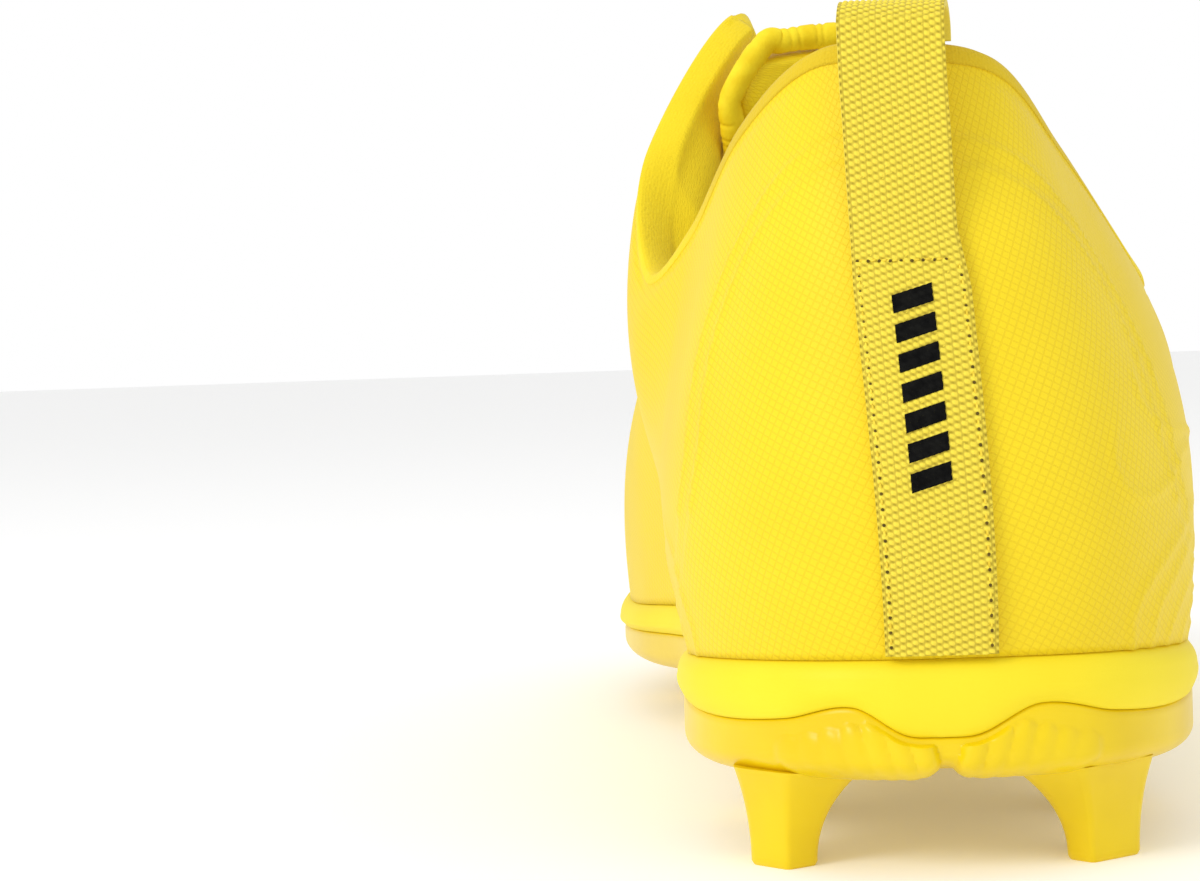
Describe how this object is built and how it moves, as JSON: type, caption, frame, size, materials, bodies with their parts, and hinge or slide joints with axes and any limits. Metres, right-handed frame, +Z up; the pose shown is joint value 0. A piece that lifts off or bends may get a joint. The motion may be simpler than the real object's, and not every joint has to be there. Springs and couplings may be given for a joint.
{
  "type": "moulded-stud cleat",
  "caption": "Right-foot textile cleat with a studded sole plate, foam midsole, padded collar, laced throat, hinged tongue and a webbing pull loop at the heel.",
  "frame": {"origin": "centre of the outline on the ground, under the studs", "axes": "+Y towards the toe, +X towards the outer side of the foot, +Z up"},
  "size_m": [0.106, 0.2972, 0.1305],
  "materials": {
    "stud_plastic": "moulded, satin",
    "midsole_foam": "moulded foam skin, matte",
    "board": "stiff felted board",
    "soft_foam": "open-cell foam",
    "ripstop": "coated ripstop weave",
    "stiffener": "matte sheet",
    "film": "welded film, satin",
    "knit": "fine knit",
    "webbing": "coarse woven webbing",
    "lace": "braided cord",
    "print": "matte print"
  },
  "bodies": {
    "shoe": {"outsole_plate": "stud_plastic", "midsole": "midsole_foam", "insole_board": "board", "sockliner": "soft_foam", "upper_shell": "ripstop", "heel_counter": "stiffener", "toe_puff": "stiffener", "heel_overlay": "film", "toe_overlay": "film", "eyestay_lateral": "film", "eyestay_medial": "film", "eyelet_backer_lateral": "stiffener", "eyelet_backer_medial": "stiffener", "collar_foam": "soft_foam", "collar_lining": "knit", "vamp_lining": "knit", "lace": "lace", "aglet_1": "stud_plastic", "aglet_2": "stud_plastic", "heel_strap": "webbing", "strap_mark": "print"},
    "tongue": {"tongue_shell": "ripstop", "tongue_foam": "soft_foam", "tongue_lining": "knit", "tongue_binding": "knit"},
    "loop": {"pull_loop": "webbing"}
  },
  "joints": [
    {"name": "tongue_fold", "type": "hinge", "parent": "shoe", "child": "tongue", "pos_m": [0, 0.0606, 0.0475], "axis": [1, 0, 0], "range_deg": [0, 12]},
    {"name": "loop_fold", "type": "hinge", "parent": "shoe", "child": "loop", "pos_m": [-0.0026, -0.1432, 0.1094], "axis": [1, 0, 0], "range_deg": [-3, 35], "stiffness_Nm_per_rad": 0.004}
  ]
}
